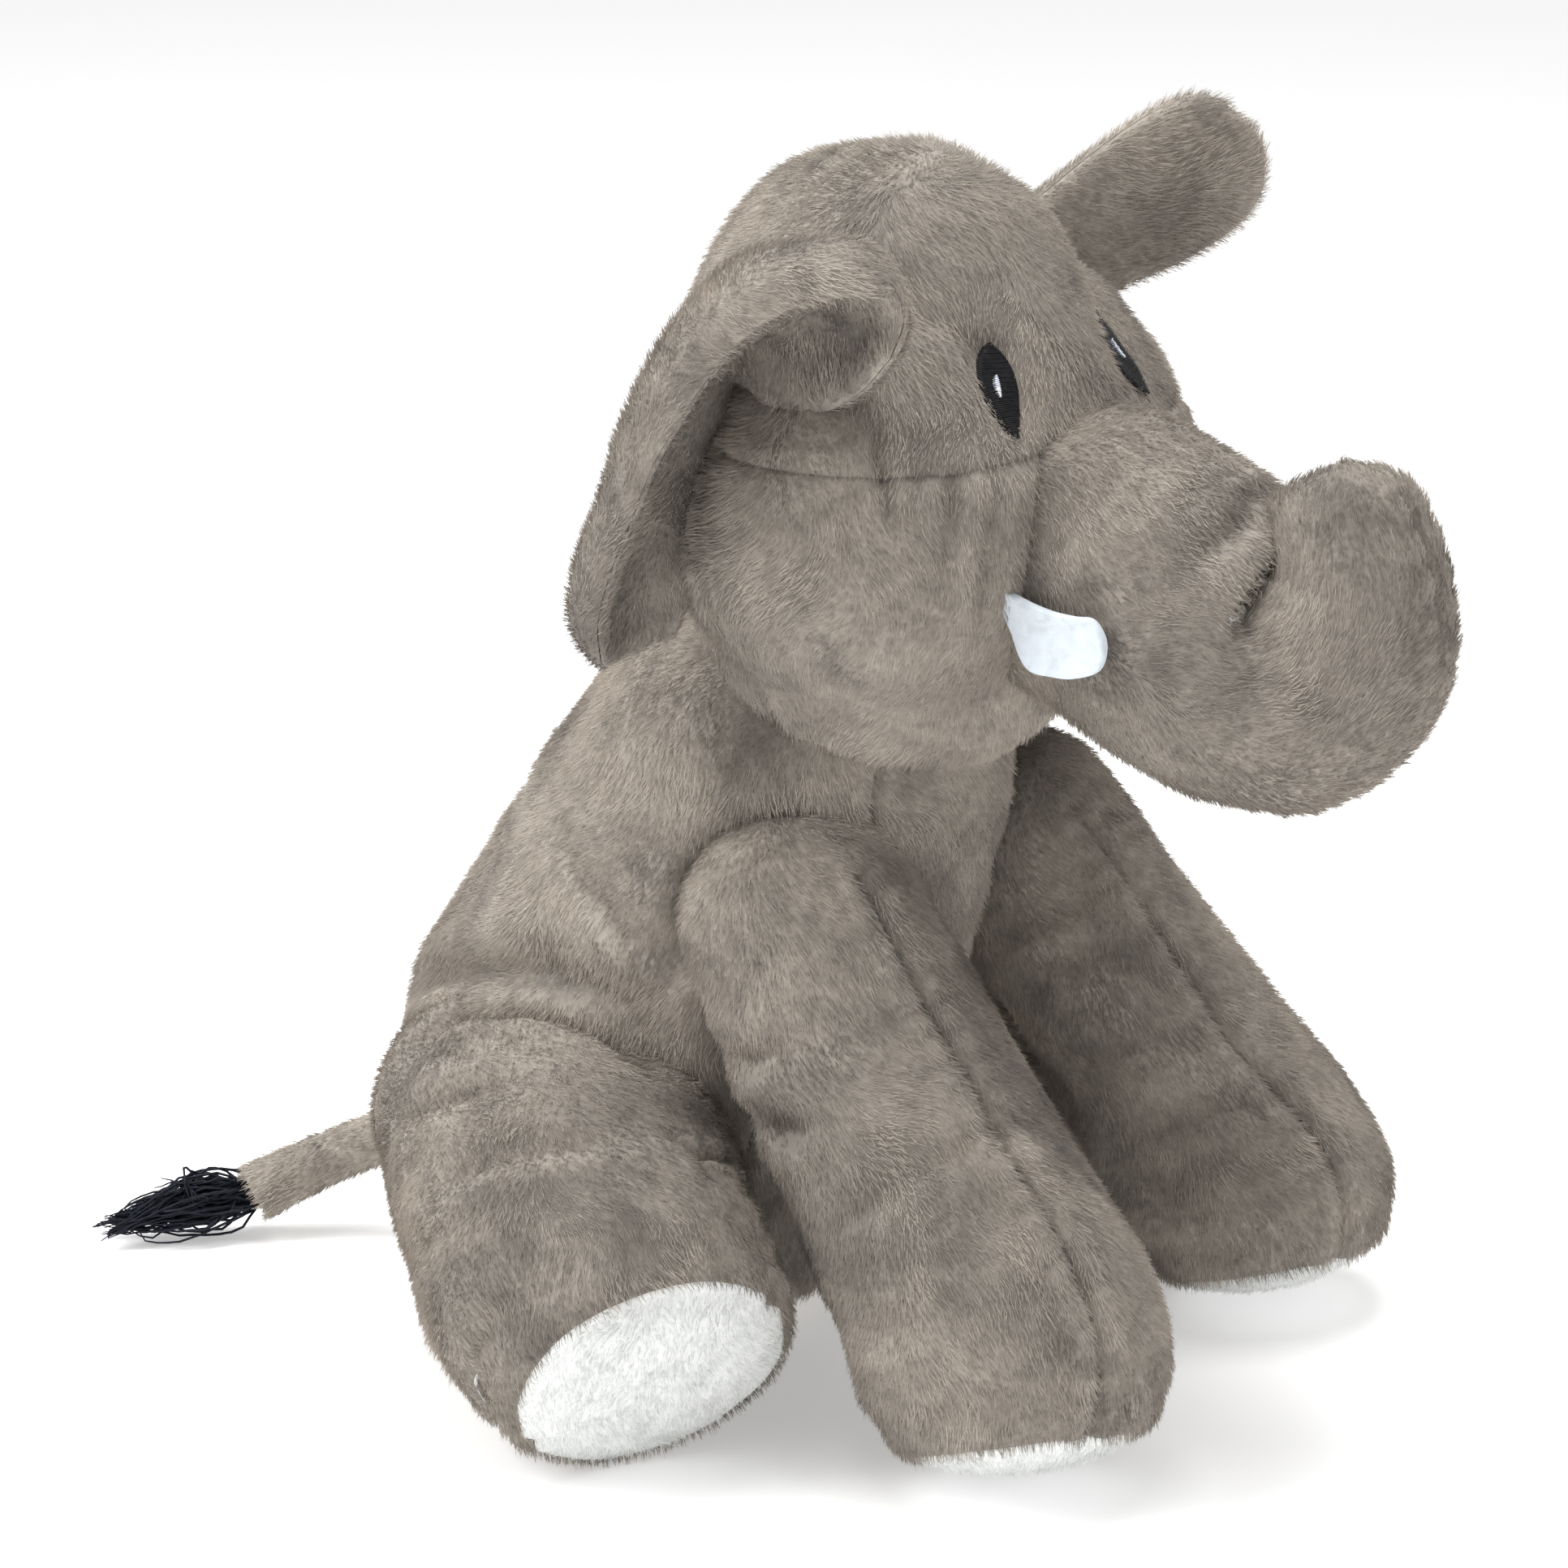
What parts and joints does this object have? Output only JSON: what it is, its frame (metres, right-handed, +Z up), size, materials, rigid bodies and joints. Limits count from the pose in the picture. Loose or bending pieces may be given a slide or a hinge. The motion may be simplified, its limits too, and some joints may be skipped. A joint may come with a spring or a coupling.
{
  "type": "stuffed elephant",
  "caption": "Seated plush elephant with a stuffed body, limbs and curled trunk that flex at their seams, floppy ears, felt tusks, embroidered eyes and a yarn-tipped tail.",
  "frame": {"origin": "on the floor under the middle of the seat panel", "axes": "+Z is up, -Y is the way the elephant looks, -X is its right side"},
  "size_m": [0.2835, 0.3538, 0.2995],
  "materials": {
    "grey_plush": "short dense pile, brushed in patches",
    "white_plush": "short white pile",
    "white_felt": "pressed felt",
    "black_thread": "satin stitch",
    "white_thread": "satin stitch",
    "black_yarn": "unravelled yarn",
    "fibre_filling": "loose polyester fibre"
  },
  "bodies": {
    "torso": {"torso_right_panel": "grey_plush", "torso_left_panel": "grey_plush", "belly_panel": "grey_plush", "seat_panel": "grey_plush", "torso_stuffing": "fibre_filling"},
    "neck": {"neck_stuffing": "fibre_filling"},
    "head": {"head_back_panel": "grey_plush", "forehead_panel": "grey_plush", "right_cheek_panel": "grey_plush", "left_cheek_panel": "grey_plush", "head_stuffing": "fibre_filling", "right_eye_embroidery": "black_thread", "right_eye_glint": "white_thread", "left_eye_embroidery": "black_thread", "left_eye_glint": "white_thread", "right_tusk": "white_felt", "left_tusk": "white_felt"},
    "trunk": {"trunk_right_panel": "grey_plush", "trunk_left_panel": "grey_plush", "trunk_stuffing": "fibre_filling"},
    "right_ear": {"right_ear_outer_panel": "grey_plush", "right_ear_inner_panel": "grey_plush"},
    "left_ear": {"left_ear_outer_panel": "grey_plush", "left_ear_inner_panel": "grey_plush"},
    "tail": {"tail_tube": "grey_plush"},
    "tassel": {"tail_tassel": "black_yarn"},
    "front_right_leg": {"front_right_leg_outer_panel": "grey_plush", "front_right_leg_inner_panel": "grey_plush", "front_right_leg_sole": "white_plush", "front_right_leg_stuffing": "fibre_filling"},
    "front_left_leg": {"front_left_leg_outer_panel": "grey_plush", "front_left_leg_inner_panel": "grey_plush", "front_left_leg_sole": "white_plush", "front_left_leg_stuffing": "fibre_filling"},
    "hind_right_leg": {"hind_right_leg_outer_panel": "grey_plush", "hind_right_leg_inner_panel": "grey_plush", "hind_right_leg_sole": "white_plush", "hind_right_leg_stuffing": "fibre_filling"},
    "hind_left_leg": {"hind_left_leg_outer_panel": "grey_plush", "hind_left_leg_inner_panel": "grey_plush", "hind_left_leg_sole": "white_plush", "hind_left_leg_stuffing": "fibre_filling"}
  },
  "joints": [
    {"name": "head_turn", "type": "hinge", "parent": "torso", "child": "neck", "pos_m": [0, -0.049, 0.156], "axis": [0, 0, 1], "range_deg": [-20, 20], "stiffness_Nm_per_rad": 2},
    {"name": "head_nod", "type": "hinge", "parent": "neck", "child": "head", "pos_m": [0, -0.049, 0.156], "axis": [1, 0, 0], "range_deg": [-8, 3.5], "stiffness_Nm_per_rad": 3},
    {"name": "trunk_lift", "type": "hinge", "parent": "head", "child": "trunk", "pos_m": [0, -0.116, 0.211], "axis": [-1, 0, 0], "range_deg": [-10, 10], "stiffness_Nm_per_rad": 1},
    {"name": "right_ear_flap", "type": "hinge", "parent": "head", "child": "right_ear", "pos_m": [-0.058, -0.056, 0.225], "axis": [0, 0, -1], "range_deg": [-8, 12], "stiffness_Nm_per_rad": 0.05},
    {"name": "left_ear_flap", "type": "hinge", "parent": "head", "child": "left_ear", "pos_m": [0.058, -0.056, 0.225], "axis": [0, 0, 1], "range_deg": [-8, 12], "stiffness_Nm_per_rad": 0.05},
    {"name": "front_right_leg_swing", "type": "hinge", "parent": "torso", "child": "front_right_leg", "pos_m": [-0.038, -0.084, 0.105], "axis": [-1, 0, 0], "range_deg": [0, 15], "stiffness_Nm_per_rad": 3},
    {"name": "front_left_leg_swing", "type": "hinge", "parent": "torso", "child": "front_left_leg", "pos_m": [0.052, -0.088, 0.112], "axis": [-1, 0, 0], "range_deg": [0, 15], "stiffness_Nm_per_rad": 3},
    {"name": "hind_right_leg_splay", "type": "hinge", "parent": "torso", "child": "hind_right_leg", "pos_m": [-0.046, -0.004, 0.06], "axis": [0, 0, -1], "range_deg": [0, 15], "stiffness_Nm_per_rad": 1.5},
    {"name": "hind_left_leg_splay", "type": "hinge", "parent": "torso", "child": "hind_left_leg", "pos_m": [0.048, -0.008, 0.06], "axis": [0, 0, 1], "range_deg": [0, 15], "stiffness_Nm_per_rad": 1.5},
    {"name": "tail_lift", "type": "hinge", "parent": "torso", "child": "tail", "pos_m": [0, 0.047, 0.033], "axis": [0.8924, 0.4512, 0], "range_deg": [0, 25], "stiffness_Nm_per_rad": 0.08},
    {"name": "tassel_swing", "type": "hinge", "parent": "tail", "child": "tassel", "pos_m": [-0.03, 0.1052, 0.01], "axis": [0, 0, 1], "range_deg": [-20, 20]}
  ]
}
